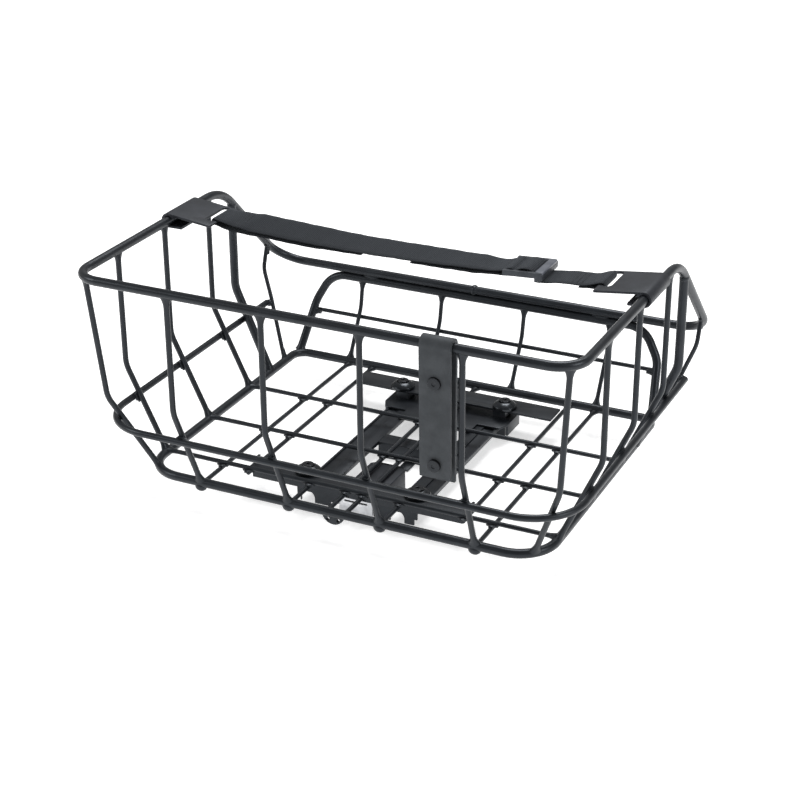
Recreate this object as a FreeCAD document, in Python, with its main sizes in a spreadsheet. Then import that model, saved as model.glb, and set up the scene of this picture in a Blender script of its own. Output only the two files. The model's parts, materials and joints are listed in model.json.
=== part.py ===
import FreeCAD, Part
import math
import os
import re
from FreeCAD import Placement, Rotation, Vector

os.makedirs("parts", exist_ok=True)
doc = FreeCAD.newDocument("wire_basket")

# --- Driving sizes -----------------------------------------------------------
# Millimetres. Heights are above the flat underside of the carrier adapter,
# x runs across the basket, and y runs from the front (minus) to the back (plus).

SIZES = [
    ("heavy_tube", 4, "radius of the rim, base ring, arch and rear posts"),
    ("middle_rod", 3, "radius of the ring round the walls"),
    ("wall_wire", 2.5, "radius of the upright wall wires"),
    ("thin_wire", 2, "radius of the floor and rear wires"),
    ("rim_level", 209, "centreline height of the level part of the rim"),
    ("rim_half_width", 220, "centreline, at the sides"),
    ("rim_front", 173, "centreline, forward of the middle"),
    ("rim_break", 66, "where the rim starts to fall towards the back"),
    ("rear_level", 107, "centreline height of the rim at the back"),
    ("rear_reach", 171, "centreline of the back of the rim"),
    ("rim_front_corner", 24, "plan radius"),
    ("rim_break_round", 60, "side radius where the rim starts to fall"),
    ("rim_rear_corner", 30, "radius of the two rear corners"),
    ("ring_level", 24, "centreline height of the base ring"),
    ("ring_half_width", 184.5, "centreline"),
    ("ring_half_depth", 139.6, "centreline"),
    ("ring_front_corner", 33, "plan radius"),
    ("ring_rear_corner", 13, "plan radius"),
    ("bend_level", 103, "height where the wall wires turn inwards"),
    ("bend_round", 30, "bend radius of the wall wires"),
    ("front_pitch_top", 86.3, "spacing of the front wires at the rim"),
    ("front_pitch_foot", 84.9, "spacing of the front and floor wires at the ring"),
    ("side_first_top", 104.9, "forward position of the first side wire at the rim"),
    ("side_first_foot", 102.6, "forward position of the first side wire at the ring"),
    ("side_pitch", 73.6, "spacing of the side wires"),
    ("rear_post_place", 84, "rearward position of the heavy rear posts"),
    ("middle_level", 74, "height of the ring round the walls"),
    ("middle_half_width", 213, "centreline"),
    ("middle_front", 166.7, "centreline, forward of the middle"),
    ("middle_corner", 46, "plan radius"),
    ("middle_end", 131, "where the middle ring stops at the back"),
    ("arch_level", 99, "height of the top of the rear arch"),
    ("arch_bend_level", 71, "height where the back turns upright"),
    ("arch_bend_reach", 165.8, "reach of the back at that bend"),
    ("arch_half_width", 160.5, "half width of the top of the rear arch, at its corners"),
    ("arch_corner", 26, "radius of the arch's top corners"),
    ("rear_bend_round", 25, "bend radius of the rear wires and the arch legs"),
    ("rear_cross_level", 61, "height of the wire across the back"),
    ("rear_cross_reach", 165.4, "reach of the wire across the back"),
    ("rear_cross_half", 177, "half length of the wire across the back"),
    ("centre_pair", 8, "half spacing of the two middle floor wires"),
    ("outer_floor_wire", 101.6, "half spacing of the wires under the strip ends"),
    ("strip_thick", 2, "sheet thickness of the cross strips"),
    ("strip_half", 103, "half length of the front cross strip"),
    ("rear_strip_half", 100, "half length of the rear cross strip"),
    ("fixing_across", 52, "half spacing of the clamp screws across"),
    ("fixing_front", 87, "forward position of the front clamp screws"),
    ("fixing_rear", 103, "rearward position of the rear clamp screws"),
    ("disc_radius", 11.25, "radius of the clamp discs"),
    ("disc_height", 7.4, "height of the domed clamp discs"),
    ("disc_dome", 16, "radius of the dome"),
    ("disc_seat", 5, "height of the seat for the screw head inside a disc"),
    ("screw_shank", 2.5, "radius of the clamp screws"),
    ("screw_hole", 2.65, "radius of the holes for the clamp screws"),
    ("screw_head", 5.25, "head radius of the button-head screws"),
    ("head_height", 2.8, "head height of the button-head screws"),
    ("socket_radius", 1.6, "radius of the socket in each head"),
    ("rail_inner", 32, "inner edge of the adapter rails"),
    ("rail_outer", 55.5, "outer edge of the adapter rails"),
    ("skirt_half", 57, "half width of the adapter's front plate"),
    ("skirt_low", 3.5, "height of the lower edge of the adapter's front plate"),
    ("skirt_notch", 6.5, "radius of the arches in the front plate's lower edge"),
    ("skirt_arch_level", 7.5, "height of the centre of those arches"),
    ("skirt_arch_place", 42.5, "half spacing of those arches"),
    ("skirt_arch_shift", 4, "how far both arches sit to the left"),
    ("skirt_relief", 1.7, "half width of the reliefs at the front plate's lower corners"),
    ("skirt_side_step", 9, "width of the notch beside the latch's window"),
    ("rail_front", 96.5, "front end of the adapter rails"),
    ("rail_back", 115, "back end of the adapter rails"),
    ("rail_top", 15.5, "height of the top of the adapter rails"),
    ("rail_thick", 3.5, "thickness of the adapter rails"),
    ("sheet_thick", 2, "sheet thickness of the adapter plates"),
    ("pad_half", 7, "half length of the threaded pads under the strips"),
    ("pad_inner", 43, "inner face of the threaded pads"),
    ("latch_half", 15.8, "half width of the latch plate"),
    ("latch_low", 3, "height of the latch plate's lower edge"),
    ("latch_high", 16.6, "height of the latch plate's upper edge"),
    ("latch_travel", 8, "how far the latch pushes in"),
    ("latch_front", 99.7, "forward face of the latch plate"),
    ("cover_half", 17, "half width of the latch cover"),
    ("cover_front", 88, "front end of the latch cover"),
    ("cover_back", 32, "back end of the latch cover"),
    ("cover_chamfer", 5, "size of the latch cover's rear chamfers"),
    ("tongue_half", 9, "half width of the latch's tongue"),
    ("tongue_back", 64, "back end of the latch's tongue"),
    ("tongue_low", 8, "height of the underside of the latch's tongue"),
    ("tongue_high", 12, "height of the top of the latch's tongue"),
    ("beam_front", 9, "front face of the adapter's middle beam"),
    ("beam_back", 26, "back face of the adapter's middle beam"),
    ("beam_heel", 5, "depth of the fold along the beam's back edge"),
    ("seat_half", 5, "half width of the beam's foot, which rests on the carrier"),
    ("seat_reach", 7, "how far that foot reaches in front of the middle"),
    ("flare", 7, "how far the rear plate reaches past each rail"),
    ("flare_front", 76, "front edge of the rear plate's wide part"),
    ("flare_back", 114, "back edge of the rear plate's wide part"),
    ("flare_slant", 16, "size of the cut across the wide part's front corners"),
    ("flare_set", 10, "where each slanted cut ends, behind the front edge"),
    ("flare_low", 6, "height of the lower edge of the rear plate's turned-down sides"),
    ("tail_front", 58, "front end of the rear plate's tongue"),
    ("tail_back", 120, "back end of the rear plate's tongue"),
    ("slide_gap", 0.4, "clearance round the latch"),
    ("lug_radius", 10.5, "radius of the lamp lug"),
    ("lug_hole", 1.7, "radius of the lamp lug's two holes"),
    ("lug_hole_across", 4.8, "half spacing of the lamp lug's holes"),
    ("tab_centre", 109.5, "position of the front tab across the basket"),
    ("tab_half", 13, "half width of the front tab"),
    ("tab_skin", 3, "thickness of the front tab"),
    ("tab_sleeve", 4.5, "radius of the sleeves between the tab's layers"),
    ("tab_screw_upper", 180, "height of the upper tab screw"),
    ("tab_screw_lower", 110.5, "height of the lower tab screw"),
    ("clip_front", 25, "forward end of the strap clips"),
    ("clip_back", 23, "rearward end of the strap clips"),
    ("clip_bore", 4.3, "radius of the clip's hook round the rim"),
    ("clip_skin", 2.3, "wall thickness of the clip's hook"),
    ("plate_reach", 42, "how far the clip's plate runs in from the rim"),
    ("plate_fall", 7, "slope of the clip's plate, in degrees"),
    ("plate_thick", 2, "thickness of the clip's plate"),
    ("lip_reach", 13.5, "how far the clip's lower lip runs in"),
    ("bar_inner", 177.7, "inner edge of the clip's bar, from the middle"),
    ("bar_outer", 180.9, "outer edge of the clip's bar, where the slot starts"),
    ("bar_height", 209.4, "height of the middle of the clip's bar at its inner edge"),
    ("slot_width", 7.8, "width of the clip's slot"),
    ("strap_centre", 3, "rearward position of the strap's middle"),
    ("strap_half", 15, "half width of the webbing"),
    ("webbing", 1.6, "thickness of the webbing"),
    ("strap_level", 207.1, "height of the strap at its ends"),
    ("strap_sag", 1.8, "how far the strap hangs lower at mid span"),
    ("buckle_left", 88, "left end of the buckle"),
    ("buckle_right", 130, "right end of the buckle"),
    ("buckle_level", 208.8, "height of the buckle's rungs"),
    ("buckle_half", 18.5, "half width of the buckle"),
    ("buckle_rail", 3.2, "width of the buckle's side rails"),
    ("buckle_tall", 4.6, "height of the buckle's side rails"),
    ("rail_set_back", 7.5, "where the side rails start, from the buckle's left end"),
    ("buckle_rise", 3.5, "slope of the buckle's side rails, in degrees"),
    ("rung_radius", 1.6, "radius of the buckle's rungs"),
    ("grip_width", 7, "width of the bar along the buckle's end"),
    ("end_wall", 1.8, "thickness of the wall under that bar"),
]

sheet = doc.addObject("Spreadsheet::Sheet", "sizes")
for row, (alias, number, note) in enumerate(SIZES, start=1):
    sheet.set("A" + str(row), note)
    sheet.set("B" + str(row), str(number))
    sheet.setAlias("B" + str(row), alias)
doc.recompute()


def value(formula):
    """Works out a formula written in the sheet's own words."""
    cell = "C1"
    sheet.set(cell, "=" + str(formula))
    doc.recompute([sheet])
    return float(sheet.get(cell))


def bound(formula):
    """The same formula, as an expression that another object can hold."""
    return re.sub(r"\b([a-z][a-z_]+)\b", r"sizes.\1", str(formula))


def bind(thing, prop, formula):
    thing.setExpression(prop, bound(formula))


# --- Simple solids, all bound to the sheet -----------------------------------


def block(name, x, y, z):
    """A box between pairs of formulas."""
    box = doc.addObject("Part::Box", name)
    for low_high, side, place in ((x, "Length", "x"), (y, "Width", "y"), (z, "Height", "z")):
        low, high = low_high
        bind(box, side, "({}) - ({})".format(high, low))
        bind(box, "Placement.Base." + place, low)
    return box


def rod(name, radius, start, height, turn=Rotation()):
    """A cylinder from a start point of three formulas, upright unless turned."""
    shaft = doc.addObject("Part::Cylinder", name)
    shaft.Placement = Placement(Vector(), turn)
    bind(shaft, "Radius", radius)
    bind(shaft, "Height", height)
    for formula, place in zip(start, "xyz"):
        bind(shaft, "Placement.Base." + place, formula)
    return shaft


ALONG_X = Rotation(Vector(0, 0, 1), Vector(1, 0, 0))
ALONG_Y = Rotation(Vector(0, 0, 1), Vector(0, 1, 0))


def union(name, parts):
    whole = doc.addObject("Part::MultiFuse", name)
    whole.Shapes = parts
    return whole


def group(name, parts):
    """Separate solids kept side by side in one node."""
    kept = doc.addObject("Part::Compound", name)
    kept.Links = parts
    return kept


def cut(name, base, tool):
    whole = doc.addObject("Part::Cut", name)
    whole.Base = base
    whole.Tool = tool
    return whole


def mirrored(name, source):
    """The same piece on the other side of the basket."""
    twin = doc.addObject("Part::Mirroring", name)
    twin.Source = source
    twin.Normal = Vector(1, 0, 0)
    return twin


# --- Bent wires and tubes ----------------------------------------------------


def rounded_path(points, rounds, closed):
    """Straight runs joined by tangent arcs; rounds holds one radius for each point."""
    runs = []
    count = len(points)
    for index, corner in enumerate(points):
        if not closed and index in (0, count - 1):
            runs.append((corner, None, corner))
            continue
        back = (points[index - 1] - corner).normalize()
        onward = (points[(index + 1) % count] - corner).normalize()
        half_angle = back.getAngle(onward) / 2
        reach = rounds[index] / math.tan(half_angle)
        middle = rounds[index] / math.sin(half_angle) - rounds[index]
        inward = (back + onward).normalize()
        runs.append((corner + back * reach, corner + inward * middle, corner + onward * reach))
    edges = []
    for index in range(count if closed else count - 1):
        enter, middle, leave = runs[index]
        if middle is not None:
            edges.append(Part.Arc(enter, middle, leave).toShape())
        edges.append(Part.LineSegment(leave, runs[(index + 1) % count][0]).toShape())
    return Part.Wire(edges)


def bent(name, radius, points, rounds=None, closed=False):
    """A round wire swept along a rounded path of formula points."""
    places = [Vector(*[value(formula) for formula in point]) for point in points]
    bends = [value(formula) for formula in (rounds or [0] * len(points))]
    route = rounded_path(places, bends, closed)
    spine = doc.addObject("Part::Feature", name + "_spine")
    spine.Shape = route
    first = route.Edges[0]
    section = doc.addObject("Part::Circle", name + "_section")
    bind(section, "Radius", radius)
    start = first.valueAt(first.FirstParameter)
    heading = first.tangentAt(first.FirstParameter)
    section.Placement = Placement(start, Rotation(Vector(0, 0, 1), heading))
    sweep = doc.addObject("Part::Sweep", name)
    sweep.Sections = [section]
    sweep.Spine = (spine, ["Edge" + str(index + 1) for index in range(len(route.Edges))])
    sweep.Solid = True
    return sweep


pieces = []


def piece(thing, name):
    """Names a finished piece; the name is its node and its file."""
    thing.Label = name
    pieces.append(thing)
    return thing


# --- Rim, base ring, middle ring and rear arch -------------------------------

top_rim = piece(
    bent(
        "rim",
        "heavy_tube",
        [
            ("-rim_half_width", "-rim_front", "rim_level"),
            ("rim_half_width", "-rim_front", "rim_level"),
            ("rim_half_width", "rim_break", "rim_level"),
            ("rim_half_width", "rear_reach", "rear_level"),
            ("-rim_half_width", "rear_reach", "rear_level"),
            ("-rim_half_width", "rim_break", "rim_level"),
        ],
        ["rim_front_corner"] * 2 + ["rim_break_round"] + ["rim_rear_corner"] * 2 + ["rim_break_round"],
        closed=True,
    ),
    "top_rim",
)

base_ring = piece(
    bent(
        "ring",
        "heavy_tube",
        [
            ("-ring_half_width", "-ring_half_depth", "ring_level"),
            ("ring_half_width", "-ring_half_depth", "ring_level"),
            ("ring_half_width", "ring_half_depth", "ring_level"),
            ("-ring_half_width", "ring_half_depth", "ring_level"),
        ],
        ["ring_front_corner"] * 2 + ["ring_rear_corner"] * 2,
        closed=True,
    ),
    "base_ring",
)

rings = group("rings", [top_rim, base_ring])

arch_bar = bent(
    "arch_bar",
    "heavy_tube",
    [
        ("-ring_half_width + 2.5", "ring_half_depth - 1.6", "ring_level"),
        ("-ring_half_width + 8.5", "arch_bend_reach", "arch_bend_level"),
        ("-arch_half_width", "rear_reach", "arch_level"),
        ("arch_half_width", "rear_reach", "arch_level"),
        ("ring_half_width - 8.5", "arch_bend_reach", "arch_bend_level"),
        ("ring_half_width - 2.5", "ring_half_depth - 1.6", "ring_level"),
    ],
    [0, "rear_bend_round", "arch_corner", "arch_corner", "rear_bend_round", 0],
)
rear_arch = piece(cut("arch", arch_bar, base_ring), "rear_arch")

middle_bar = bent(
    "middle_bar",
    "middle_rod",
    [
        ("-middle_half_width", "middle_end", "middle_level"),
        ("-middle_half_width", "-middle_front", "middle_level"),
        ("middle_half_width", "-middle_front", "middle_level"),
        ("middle_half_width", "middle_end", "middle_level"),
    ],
    [0, "middle_corner", "middle_corner", 0],
)
mid_ring = piece(middle_bar, "mid_ring")

frame_tubes = group("frame_tubes", [top_rim, base_ring, mid_ring])

# --- Upright wires of the walls ----------------------------------------------

# The wires hang straight from the rim, then lean in to the smaller base ring.
# Each end is shaped to the tube that it is welded to.


def wall_wire(name, radius, top, foot, bend="bend_level", knee=None):
    """A wire from the rim to the base ring; its knee is below the top unless given."""
    knee_x, knee_y = knee or top[:2]
    foot_x, foot_y = foot
    wire = bent(
        name + "_bar",
        radius,
        [top, (knee_x, knee_y, bend), (foot_x, foot_y, "ring_level")],
        [0, "bend_round", 0],
    )
    return piece(cut(name + "_coped", wire, frame_tubes), name)


front_spots = (-1.5, -0.5, 0.5, 1.5)
front_wires = []
for number, spot in enumerate(front_spots, start=1):
    front_wires.append(
        wall_wire(
            "front_wire_" + str(number),
            "wall_wire",
            ("front_pitch_top * {}".format(spot), "-rim_front", "rim_level"),
            ("front_pitch_foot * {}".format(spot), "-ring_half_depth"),
        )
    )

# Corner wires stand at the middle of each rounded front corner and lean in all
# the way down, a little more below the knee.
corner_share = 1 - math.sqrt(0.5)


def corner_spot(sign, half_width, front, radius, inset):
    """The plan place of the middle of a rounded corner, moved in on the diagonal."""
    return (
        "{} * ({} - {} * {} - {})".format(sign, half_width, radius, corner_share, inset),
        "-{} + {} * {} + {}".format(front, radius, corner_share, inset),
    )


for side, sign in (("left", -1), ("right", 1)):
    rim_corner = ("rim_half_width", "rim_front", "rim_front_corner")
    ring_corner = ("ring_half_width", "ring_half_depth", "ring_front_corner")
    wall_wire(
        "front_corner_wire_" + side,
        "wall_wire",
        corner_spot(sign, *rim_corner, 0.7) + ("rim_level",),
        corner_spot(sign, *ring_corner, 0),
        "bend_level - 6",
        corner_spot(sign, *rim_corner, 8.4),
    )
    for number in range(3):
        wall_wire(
            "side_wire_{}_{}".format(side, number + 1),
            "wall_wire",
            (
                "{} * rim_half_width".format(sign),
                "-side_first_top + side_pitch * {}".format(number),
                "rim_level",
            ),
            (
                "{} * ring_half_width".format(sign),
                "-side_first_foot + side_pitch * {}".format(number),
            ),
        )
    # The heavy rear post meets the rim on its falling part.
    wall_wire(
        "rear_post_" + side,
        "heavy_tube",
        (
            "{} * rim_half_width".format(sign),
            "rear_post_place",
            "rim_level - (rear_post_place - rim_break)"
            " * (rim_level - rear_level) / (rear_reach - rim_break)",
        ),
        ("{} * ring_half_width".format(sign), "rear_post_place"),
        "bend_level + 4",
    )
    # The thin rear corner wire curves forward as it leans in.
    corner_wire = bent(
        "rear_corner_bar_" + side,
        "thin_wire",
        [
            ("{} * (rim_half_width - 0.5)".format(sign), "rear_reach - 24", "rear_level + 23.5"),
            ("{} * (rim_half_width - 0.5)".format(sign), "rear_reach - 32.5", "ring_level + 82"),
            ("{} * (rim_half_width - 10.5)".format(sign), "ring_half_depth - 6", "ring_level + 55"),
            ("{} * ring_half_width".format(sign), "ring_half_depth - 27.6", "ring_level"),
        ],
        [0, "bend_round", "bend_round", 0],
    )
    piece(cut("rear_corner_coped_" + side, corner_wire, frame_tubes), "rear_corner_wire_" + side)

# --- Rear wires --------------------------------------------------------------

rear_tubes = group("rear_tubes", [base_ring, rear_arch])
for number, spot in enumerate(front_spots, start=1):
    across = "front_pitch_foot * {}".format(spot)
    rear_wire = bent(
        "rear_bar_" + str(number),
        "thin_wire",
        [
            (across, "ring_half_depth", "ring_level"),
            (across, "arch_bend_reach", "arch_bend_level"),
            (across, "rear_reach", "arch_level"),
        ],
        [0, "rear_bend_round", 0],
    )
    piece(cut("rear_coped_" + str(number), rear_wire, rear_tubes), "rear_wire_" + str(number))

rear_cross = rod(
    "rear_cross_bar",
    "thin_wire",
    ("-rear_cross_half", "rear_cross_reach", "rear_cross_level"),
    "2 * rear_cross_half",
    ALONG_X,
)
piece(cut("rear_cross_coped", rear_cross, rear_arch), "rear_cross_wire")

# --- Floor wires -------------------------------------------------------------

# Three wires across lie on top of the wires that run front to back.
for number in range(3):
    cross = rod(
        "floor_cross_bar_" + str(number + 1),
        "thin_wire",
        (
            "-ring_half_width",
            "-side_first_foot + side_pitch * {}".format(number),
            "ring_level + thin_wire",
        ),
        "2 * ring_half_width",
        ALONG_X,
    )
    coped = cut("floor_cross_coped_" + str(number + 1), cross, base_ring)
    piece(coped, "floor_cross_wire_" + str(number + 1))


def floor_wire(name, across, start, length):
    wire = rod(name + "_bar", "thin_wire", (across, start, "ring_level - thin_wire"), length, ALONG_Y)
    return cut(name + "_coped", wire, base_ring)


full_depth = "2 * ring_half_depth"
long_runs = (
    ("-1.5 * front_pitch_foot", "-ring_half_depth", full_depth),
    ("-outer_floor_wire", "-side_first_foot - 2", "ring_half_depth + side_first_foot + 2"),
    ("outer_floor_wire", "-side_first_foot - 2", "ring_half_depth + side_first_foot + 2"),
    ("1.5 * front_pitch_foot", "-ring_half_depth", full_depth),
)
for number, (across, start, length) in enumerate(long_runs, start=1):
    name = "floor_long_wire_" + str(number)
    piece(floor_wire(name, across, start, length), name)

short_wires = []
centre_wires = []
for number, sign in enumerate((-1, 1), start=1):
    short_wires.append(
        floor_wire(
            "floor_short_" + str(number),
            "{} * 0.5 * front_pitch_foot".format(sign),
            "-ring_half_depth",
            "ring_half_depth - side_first_foot + 1.8",
        )
    )
    centre_wires.append(
        floor_wire(
            "floor_centre_" + str(number),
            "{} * centre_pair".format(sign),
            "-ring_half_depth",
            full_depth,
        )
    )
piece(group("short_pair", short_wires), "floor_short_wires")
piece(group("centre_wire_pair", centre_wires), "floor_centre_wires")

# --- Cross strips that lie on the floor wires --------------------------------

screw_spots = [
    (across, along)
    for along in ("-fixing_front", "fixing_rear")
    for across in ("-fixing_across", "fixing_across")
]


def screw_holes(name, spots, low, high, radius="screw_hole"):
    """Upright cutters at the clamp screws."""
    holes = []
    for number, (across, along) in enumerate(spots, start=1):
        holes.append(
            rod(name + str(number), radius, (across, along, low), "({}) - ({})".format(high, low))
        )
    return holes


strip_front_edge = "-fixing_front - 13.5"
front_plate = block(
    "front_strip_plate",
    ("-strip_half", "strip_half"),
    (strip_front_edge, "-fixing_front + 8"),
    ("ring_level", "ring_level + strip_thick"),
)
front_flange = block(
    "front_strip_flange",
    ("-strip_half", "strip_half"),
    (strip_front_edge, "-fixing_front - 11.5"),
    ("ring_level - 7", "ring_level + 1"),
)
flange_notches = []
for number, across in enumerate(("-outer_floor_wire", "-centre_pair", "centre_pair", "outer_floor_wire")):
    flange_notches.append(
        block(
            "strip_notch_" + str(number),
            (across + " - 2.2", across + " + 2.2"),
            ("-fixing_front - 14", "-fixing_front - 11"),
            ("ring_level - 8", "ring_level"),
        )
    )
# Each end of the front strip turns up into a small lip.
lips = []
for number, sign in enumerate((-1, 1)):
    edge = "{} * (strip_half - 1)".format(sign)
    lips.append(
        block(
            "strip_lip_" + str(number),
            (edge + " - 1", edge + " + 1"),
            ("-fixing_front - 4", "-fixing_front + 4"),
            ("ring_level", "ring_level + 6"),
        )
    )
front_strip = cut(
    "front_strip_cut",
    union("front_strip_stock", [front_plate, front_flange] + lips),
    union("front_strip_holes", flange_notches + screw_holes("front_hole_", screw_spots[:2], 0, 40)),
)
piece(front_strip, "front_cross_strip")

rear_plate = block(
    "rear_strip_plate",
    ("-rear_strip_half", "rear_strip_half"),
    ("fixing_rear - 7", "fixing_rear + 18"),
    ("ring_level", "ring_level + strip_thick"),
)
rear_strip = cut(
    "rear_strip_cut",
    rear_plate,
    union("rear_strip_holes", screw_holes("rear_hole_", screw_spots[2:], 0, 40)),
)
piece(rear_strip, "rear_cross_strip")

# --- Clamp discs and screws --------------------------------------------------

strip_top = "ring_level + strip_thick"
head_seat = strip_top + " + disc_seat"
discs = []
bolts = []
for number, (across, along) in enumerate(screw_spots, start=1):
    foot = (across, along, strip_top)
    seat = (across, along, head_seat)
    disc_body = rod("disc_body_" + str(number), "disc_radius", foot, "disc_height")
    dome = doc.addObject("Part::Sphere", "disc_dome_" + str(number))
    bind(dome, "Radius", "disc_dome")
    bind(dome, "Placement.Base.x", across)
    bind(dome, "Placement.Base.y", along)
    bind(dome, "Placement.Base.z", strip_top + " + disc_height - disc_dome")
    domed = doc.addObject("Part::Common", "disc_domed_" + str(number))
    domed.Base = disc_body
    domed.Tool = dome
    below = (across, along, strip_top + " - 1")
    disc_hole = rod("disc_hole_" + str(number), "screw_hole", below, "disc_height")
    disc_well = rod("disc_well_" + str(number), "screw_head + 0.35", seat, "disc_height")
    disc_room = union("disc_room_" + str(number), [disc_hole, disc_well])
    discs.append(cut("disc_" + str(number), domed, disc_room))
    head = rod("bolt_head_" + str(number), "screw_head", seat, "head_height")
    shank = rod(
        "bolt_shank_" + str(number),
        "screw_shank",
        (across, along, "rail_top - rail_thick - 0.5"),
        "ring_level + strip_thick + disc_seat - rail_top + rail_thick + 1.5",
    )
    above = (across, along, head_seat + " + 1.2")
    socket = rod("bolt_socket_" + str(number), "socket_radius", above, "head_height")
    stock = union("bolt_stock_" + str(number), [head, shank])
    bolts.append(cut("bolt_" + str(number), stock, socket))
piece(group("disc_set", discs), "clamp_discs")
piece(group("bolt_set", bolts), "clamp_bolts")

# --- Carrier adapter under the floor -----------------------------------------

# Each rail is a flat band with a shallow trough along it and a threaded pad up
# to each strip. The rear pads also reach down to the seat.
for side, sign in (("left", -1), ("right", 1)):

    def between(inner, outer):
        """A span of x on this side, from two distances out."""
        ends = ("{} * ({})".format(sign, inner), "{} * ({})".format(sign, outer))
        return ends if sign > 0 else ends[::-1]

    band = block(
        "rail_band_" + side,
        between("rail_inner", "rail_outer"),
        ("-rail_front", "rail_back"),
        ("rail_top - rail_thick", "rail_top"),
    )
    trough = block(
        "rail_trough_" + side,
        between("rail_inner + 11", "rail_outer - 2"),
        ("-fixing_front + pad_half + 3", "fixing_rear - pad_half - 3"),
        ("rail_top - 1.5", "rail_top + 1"),
    )
    pads = []
    pad_feet = (("-fixing_front", "rail_top - 1"), ("fixing_rear", "0"))
    for number, (along, foot) in enumerate(pad_feet, start=1):
        pads.append(
            block(
                "rail_pad_{}_{}".format(side, number),
                between("pad_inner", "rail_outer"),
                (along + " - pad_half", along + " + pad_half"),
                (foot, "ring_level"),
            )
        )
    spots = [("{} * fixing_across".format(sign), along) for along in ("-fixing_front", "fixing_rear")]
    holes = screw_holes("rail_hole_{}_".format(side), spots, -1, 40, "screw_shank")
    rail = cut(
        "rail_" + side,
        union("rail_stock_" + side, [cut("rail_open_" + side, band, trough)] + pads),
        union("rail_holes_" + side, holes),
    )
    piece(rail, "adapter_rail_" + side)

# The front plate hangs across both rails, with the latch's window in the middle
# and two arched notches in its lower edge.
through = ("-rail_front - sheet_thick - 1", "-rail_front + 1")
skirt = block(
    "skirt_sheet",
    ("-skirt_half", "skirt_half"),
    ("-rail_front - sheet_thick", "-rail_front"),
    ("skirt_low", "ring_level - 4.5"),
)
skirt_openings = [
    block(
        "skirt_window",
        ("-latch_half - slide_gap", "latch_half + slide_gap"),
        through,
        ("0", "latch_high + slide_gap"),
    ),
    block(
        "skirt_side_notch",
        ("-latch_half - skirt_side_step", "-latch_half"),
        through,
        ("0", "skirt_low + 4.5"),
    ),
]
for number, sign in enumerate((-1, 1)):
    middle = "{} * skirt_arch_place - skirt_arch_shift".format(sign)
    skirt_openings.append(
        block(
            "skirt_notch_" + str(number),
            (middle + " - skirt_notch", middle + " + skirt_notch"),
            through,
            ("0", "skirt_arch_level"),
        )
    )
    skirt_openings.append(
        rod(
            "skirt_arch_" + str(number),
            "skirt_notch",
            (middle, "-rail_front - sheet_thick - 1", "skirt_arch_level"),
            "sheet_thick + 2",
            ALONG_Y,
        )
    )
    corner = "{} * (skirt_half - 1.3)".format(sign)
    skirt_openings.append(
        block(
            "skirt_corner_" + str(number),
            (corner + " - skirt_relief", corner + " + skirt_relief"),
            through,
            ("0", "skirt_low + 5.5"),
        )
    )
piece(cut("skirt", skirt, union("skirt_cutters", skirt_openings)), "adapter_front_plate")

# The middle beam joins the rails: a folded sheet with a tall front face, whose
# foot turns forward and rests flat on the carrier.
beam_span = ("-rail_inner", "rail_inner")
beam_top = block("beam_top", beam_span, ("beam_front", "beam_back"), ("rail_top - sheet_thick", "rail_top"))
beam_face = block("beam_face", beam_span, ("beam_front", "beam_front + sheet_thick"), (0, "rail_top"))
beam_edge = block(
    "beam_edge",
    beam_span,
    ("beam_back - sheet_thick", "beam_back"),
    ("rail_top - beam_heel", "rail_top"),
)
beam_foot = block(
    "beam_foot",
    ("-seat_half", "seat_half"),
    ("-seat_reach", "beam_front + 1"),
    (0, "sheet_thick"),
)
piece(union("beam", [beam_top, beam_face, beam_edge, beam_foot]), "adapter_middle_plate")

# The rear plate lies over both rails, flares past them and turns down outside.
rear_top = ("rail_top", "rail_top + sheet_thick")
rear_cover = block(
    "rear_cover",
    ("-rail_outer - flare", "rail_outer + flare"),
    ("flare_front", "flare_back"),
    rear_top,
)
rear_tongue = block(
    "rear_tongue",
    ("-rail_inner - 4", "rail_inner + 4"),
    ("tail_front", "tail_back"),
    rear_top,
)
rear_sides = []
for number, sign in enumerate((-1, 1)):
    middle = "{} * (rail_outer + flare - sheet_thick / 2)".format(sign)
    rear_sides.append(
        block(
            "rear_side_" + str(number),
            (middle + " - sheet_thick / 2", middle + " + sheet_thick / 2"),
            ("flare_front + flare_set", "flare_back"),
            ("flare_low", "rail_top + sheet_thick"),
        )
    )
rear_openings = []
for number, (across, along) in enumerate(screw_spots[2:], start=1):
    sign = number * 2 - 3
    # Each rail's rear pad comes up through a slot that is open to the outside.
    ends = ("{} * (pad_inner - 0.3)".format(sign), "{} * (rail_outer + 0.3)".format(sign))
    rear_openings.append(
        block(
            "rear_pad_room_" + str(number),
            ends if sign > 0 else ends[::-1],
            (along + " - pad_half - 0.3", along + " + pad_half + 0.3"),
            (0, 40),
        )
    )
    # The front corners of the flare are cut off at a slant.
    slant = doc.addObject("Part::Box", "rear_slant_" + str(number))
    slant.Placement = Placement(Vector(), Rotation(Vector(0, 0, 1), -115 if sign > 0 else -155))
    bind(slant, "Length", "flare_slant")
    bind(slant, "Width", "flare_slant")
    bind(slant, "Height", "2 * rail_top")
    bind(slant, "Placement.Base.x", "{} * (rail_outer + flare)".format(sign))
    bind(slant, "Placement.Base.y", "flare_front + flare_set")
    rear_openings.append(slant)
rear_sheet = cut(
    "rear_sheet",
    union("rear_sheet_stock", [rear_cover, rear_tongue] + rear_sides),
    union("rear_sheet_holes", rear_openings),
)
piece(rear_sheet, "adapter_rear_plate")

# --- Push latch --------------------------------------------------------------

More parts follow.
